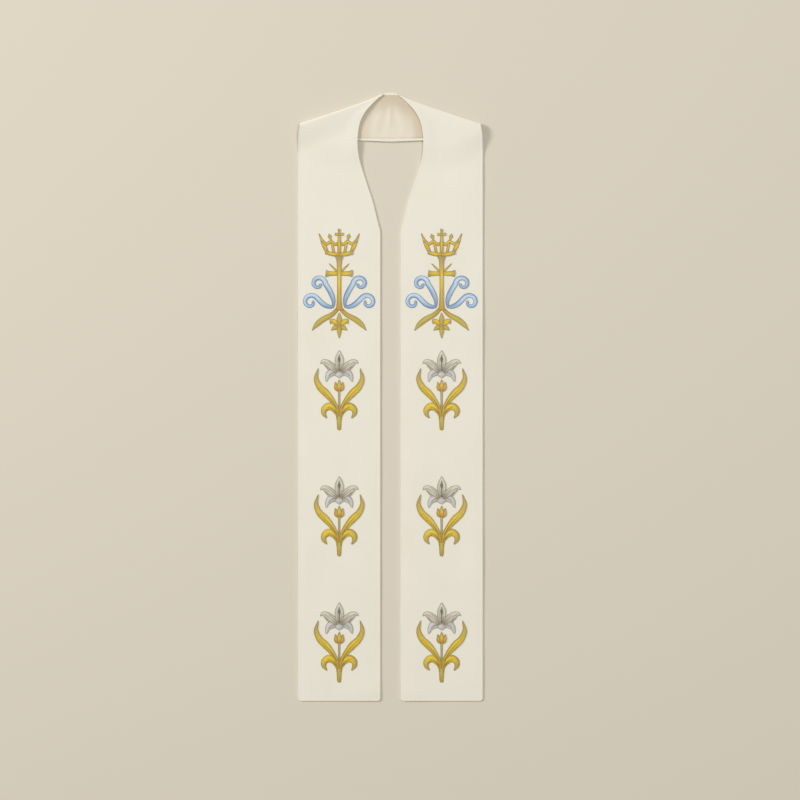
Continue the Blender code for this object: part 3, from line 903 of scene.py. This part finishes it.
def stitch_tile(name, pitch, columns, slant, dome, ridge):
    """One stitch across a stroke whose half width is 1, ready to repeat along X."""
    bpy.ops.object.select_all(action="DESELECT")
    bpy.ops.mesh.primitive_grid_add(x_subdivisions=2, y_subdivisions=columns, size=2.0)
    tile = bpy.context.object
    tile.name = name
    only(tile)
    bpy.ops.object.mode_set(mode="EDIT")
    bpy.ops.mesh.select_all(action="SELECT")
    bpy.ops.transform.resize(value=(pitch / 2, 1.0, 1.0))
    bpy.ops.object.mode_set(mode="OBJECT")
    for reach in DOME_REACHES:
        move_where(tile, lambda place: abs(place.y) < reach, (0, 0, dome * reach))
    move_where(tile, lambda place: abs(place.x) < pitch / 8, (0, 0, ridge))
    uv_map = tile.data.uv_layers.active.data
    for loop in tile.data.loops:
        place = tile.data.vertices[loop.vertex_index].co
        uv_map[loop.index].uv = (place.x + pitch / 2, 0.5 + place.y / 2)
    for vertex in tile.data.vertices:
        vertex.co.x += pitch / 2 + slant * pitch * (vertex.co.y + 1.0)
    return tile


def spine_of(name, line):
    """A flat curve along a stroke's line, whose radius is the stroke's half width."""
    data = bpy.data.curves.new(name, "CURVE")
    data.dimensions = "2D"
    data.use_radius = True
    run = data.splines.new("POLY")
    run.points.add(len(line) - 1)
    for point, (x, y, half_width) in zip(run.points, line):
        point.co = (x * MILLIMETRE, y * MILLIMETRE, 0.0, 1.0)
        point.radius = half_width * MILLIMETRE
    spine = bpy.data.objects.new(name, data)
    bpy.context.scene.collection.objects.link(spine)
    return spine


def stitched(line, tile, pitch, material, layer, number):
    """A stroke of stitches along the line: the tile repeated, bent to it, and given a body."""
    spine = spine_of("spine", line)
    stroke = bpy.data.objects.new("stroke", tile.data.copy())
    bpy.context.scene.collection.objects.link(stroke)
    row = stroke.modifiers.new("row of stitches", "ARRAY")
    row.fit_type = "FIT_CURVE"
    row.curve = spine
    row.use_relative_offset = False
    row.use_constant_offset = True
    row.constant_offset_displace = (pitch, 0.0, 0.0)
    row.use_merge_vertices = True
    row.merge_threshold = JOIN_DISTANCE
    row.offset_u = pitch
    bent = stroke.modifiers.new("along the spine", "CURVE")
    bent.object = spine
    body = stroke.modifiers.new("thread body", "SOLIDIFY")
    body.thickness = THREAD_THICKNESS
    body.offset = 1.0
    apply_modifiers(stroke)
    mesh = stroke.data
    uv = np.zeros(len(mesh.loops) * 2, np.float32)
    mesh.uv_layers.active.data.foreach_get("uv", uv)
    corner = np.zeros(len(mesh.loops), np.int32)
    mesh.loops.foreach_get("vertex_index", corner)
    share = np.zeros(len(mesh.vertices), np.float32)
    share[corner] = uv[0::2] / max(uv[0::2].max(), pitch)
    give_attribute(mesh, "share_along", share)
    give_attribute(mesh, "stroke_number", np.full(len(mesh.vertices), number, np.float32))
    mesh.transform(Matrix.Translation((0, 0, layer * LAYER_LIFT)))
    mesh.materials.clear()
    mesh.materials.append(material)
    bpy.data.objects.remove(spine)
    return stroke


def outline_lines(line):
    """The two edges of a stroke, as lines for its outline stitches."""
    heading = np.gradient(line[:, :2], axis=0)
    heading /= np.linalg.norm(heading, axis=1)[:, None]
    offset = np.maximum(line[:, 2:] - OUTLINE_INSET, LEAST_OUTLINE_OFFSET)
    sideways = np.column_stack([heading[:, 1], -heading[:, 0]]) * offset
    width = np.full((len(line), 1), OUTLINE_HALF_WIDTH)
    return [np.hstack([edge, width]) for edge in (line[:, :2] + sideways, line[:, :2] - sideways)]


# A stroke's points, or its finished line, its thread, its layer, and whether it has a twin on the
# other side
Stroke = namedtuple("Stroke", "points thread layer twin")


def stroke_lines(stroke):
    """The stroke's line, and its twin's."""
    points = stroke.points
    line = through(points, SPINE_STEPS) if isinstance(points, tuple) else points
    return (line, mirrored(line)) if stroke.twin else (line,)


def motif(name, strokes, materials, tiles, veins=()):
    """One mesh of all the motif's stitched strokes, each with its outline, and its veins on top."""
    made = []

    def stitch(line, tile, thread, layer):
        pitch = TILES[tile].pitch
        made.append(stitched(line, tiles[tile], pitch, materials[thread], layer, len(made)))

    for stroke in strokes:
        for line in stroke_lines(stroke):
            stitch(line, "body", stroke.thread, stroke.layer)
            for edge in outline_lines(line):
                stitch(edge, "outline", OUTLINES[stroke.thread], stroke.layer + 1)
    for vein in veins:
        for line in stroke_lines(vein):
            stitch(line, "outline", vein.thread, vein.layer)
    bpy.ops.object.select_all(action="DESELECT")
    for obj in made:
        obj.select_set(True)
    bpy.context.view_layer.objects.active = made[0]
    bpy.ops.object.join()
    joined = bpy.context.object
    joined.name = name
    bpy.ops.object.shade_smooth_by_angle(angle=THREAD_SMOOTH_ANGLE)
    return joined


def place(pattern, name, x, drop, slot):
    """A copy of a motif with its own mesh, laid on the panel's cloth in place of its CAD node."""
    mesh = pattern.data.copy()
    points = np.zeros(len(mesh.vertices) * 3, np.float32)
    mesh.vertices.foreach_get("co", points)
    points = points.reshape(-1, 3) + (x, TOP_Y - drop, THREAD_BASE)
    points[:, 2] += swell_height(np.column_stack([np.abs(points[:, 0]), points[:, 1]]))
    mesh.vertices.foreach_set("co", points.astype(np.float32).ravel())
    piece = bpy.data.objects.new(f"stitched_{name}", mesh)
    bpy.context.scene.collection.objects.link(piece)
    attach(piece, "root")
    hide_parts(name)
    return piece


def embroider(materials):
    """Every motif on both panels."""
    tiles = {key: stitch_tile(*tile) for key, tile in TILES.items()}
    fronds = [
        (frond_line(HIGH_FROND_FOOT, HIGH_CURL), 2), (frond_line(LOW_FROND_FOOT, LOW_CURL), 0),
    ]
    patterns = {
        "crown": [
            Stroke(CROWN_OUTER_RAY, "gold", 0, True), Stroke(CROWN_INNER_RAY, "gold", 1, True),
            Stroke(CROWN_GARLAND, "gold", 2, True), Stroke(CROWN_MIDDLE_RAY, "gold", 4, False),
            Stroke(CROWN_TOP_ARM, "gold", 5, True), Stroke(CROWN_BAND, "gold", 6, True),
        ],
        "cross": [
            Stroke(FOOT_LEAF, "olive", 0, True), Stroke(CROSS_RAY, "gold", 0, True),
            Stroke(CROSS_ARM, "gold", 1, True), Stroke(CROSS_SHAFT, "gold", 3, False),
        ],
        "scroll_east": [Stroke(line, "blue", layer, False) for line, layer in fronds],
        "scroll_west": [Stroke(mirrored(line), "blue", layer, False) for line, layer in fronds],
        "fleuron": [
            Stroke(FLEURON_LOW_SIDE, "olive", 0, True), Stroke(FLEURON_SIDE, "gold", 1, True),
            Stroke(FLEURON_UP, "olive", 3, False), Stroke(FLEURON_DOWN, "olive", 3, False),
        ],
        "leaves": [
            Stroke(STEM, "olive", 0, False), Stroke(BUD_STEM, "dun", 0, False),
            Stroke(SHORT_LEAF, "gold", 1, True), Stroke(LONG_LEAF, "gold", 3, True),
            Stroke(SIDE_SEPAL, "amber", 3, True), Stroke(MIDDLE_SEPAL, "gold", 5, False),
        ],
        "bloom": [
            Stroke(LOW_PETAL, "mist", 0, False), Stroke(DROPPED_PETAL, "mist", 1, True),
            Stroke(RAISED_PETAL, "silver", 3, True), Stroke(TOP_PETAL, "silver", 5, False),
        ],
    }
    veins = {
        "bloom": [
            *(Stroke(line, "taupe", VEIN_LAYER, True) for line in PETAL_VEINS),
            Stroke(STAMEN, "umber", STAMEN_LAYER, False),
        ],
        "leaves": [Stroke(line, "dark gold", VEIN_LAYER, True) for line in LEAF_VEINS],
    }
    slots = {"scroll_east": "blue_thread", "scroll_west": "blue_thread", "bloom": "silver_thread"}
    pieces = {"left": [], "right": []}
    for name, strokes in patterns.items():
        pattern = motif(name, strokes, materials, tiles, veins.get(name, ()))
        slot = slots.get(name, "gold_thread")
        drops = {"": EMBLEM_DROP}
        if name in ("leaves", "bloom"):
            drops = {f"lily_{k}_": drop for k, drop in enumerate(LILY_DROPS, 1)}
        for word, side in (("left", -1), ("right", 1)):
            for prefix, drop in drops.items():
                node = f"{word}_{prefix}{name}"
                pieces[word].append(place(pattern, node, side * MOTIF_X, drop, slot))
        bpy.data.objects.remove(pattern)
    for tile in tiles.values():
        bpy.data.objects.remove(tile)
    return pieces


# The cloth pieces


def flat_length(rows):
    """The longest way along the rows, in metres."""
    return float(np.linalg.norm(np.diff(np.array(rows), axis=0), axis=2).sum(axis=0).max())


def dress_cloth(materials, embroidery):
    """Both halves of the stole, and the lining of the back of the neck."""
    ivory, satin = materials["ivory"], materials["lining"]
    for word, side in (("left", -1), ("right", 1)):
        rows = half_rows()
        half = sheet_of_rows(f"{word}_strip", rows, side, WALL, [ivory, satin])
        turn_edges_over(half, rows)
        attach(half, "root")
        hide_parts(f"{word}_half")
        rows_of_lining = lining_rows(side)
        lining = sheet_of_rows(f"{word}_back_neck", rows_of_lining, side, LINING_WALL, [satin])
        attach(lining, "root")
        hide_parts(f"{word}_neck_lining")


def turn_edges_over(half, rows):
    """Gives the face cloth's material to the narrow border that is turned over at the back."""
    widths = np.linalg.norm(np.diff(np.array(rows), axis=1), axis=2).sum(axis=1)
    length = flat_length(rows)
    uv_map = half.data.uv_layers.active.data
    for face in half.data.polygons:
        if face.material_index == 0:
            continue
        corners = (Vector(uv_map[i].uv) for i in face.loop_indices)
        place = sum(corners, Vector((0, 0))) / face.loop_total
        width = float(np.interp(place.y, np.linspace(0, length, len(widths)), widths))
        if min(place.x, width - place.x, place.y) < TURNED_EDGE:
            face.material_index = 0


# Floor, light and camera


def make_stage():
    """The floor, the lights and the soft light of the room."""
    bpy.ops.object.select_all(action="DESELECT")
    bpy.ops.mesh.primitive_plane_add(size=FLOOR_SIZE, location=(0, 0, 0))
    floor = bpy.context.object
    floor.name = "floor"
    floor.data.materials.append(floor_material())
    for name, place, size, power in LIGHTS:
        bpy.ops.object.light_add(type="AREA", location=place)
        light = bpy.context.object
        light.name = name
        light.data.size = size
        light.data.energy = power
        light.rotation_euler = (-Vector(place)).to_track_quat("-Z", "Y").to_euler()
    world = bpy.data.worlds.new("soft room")
    world.use_nodes = True
    background = world.node_tree.nodes["Background"]
    background.inputs["Color"].default_value = (*ROOM_TONE, 1.0)
    background.inputs["Strength"].default_value = ROOM_STRENGTH
    bpy.context.scene.world = world
    bpy.context.scene.view_settings.view_transform = "Standard"


def make_camera():
    """A camera straight above the stole, as in the photo."""
    distance = VIEW_WIDTH * LENS_MM / SENSOR_MM
    bpy.ops.object.camera_add(location=(*VIEW_CENTRE, distance), rotation=(0, 0, 0))
    camera = bpy.context.object
    camera.name = "camera from above"
    camera.data.lens = LENS_MM
    camera.data.sensor_width = SENSOR_MM
    bpy.context.scene.camera = camera


def main():
    make_camera()
    make_stage()
    materials = all_materials()
    dress_cloth(materials, embroider(materials))


main()
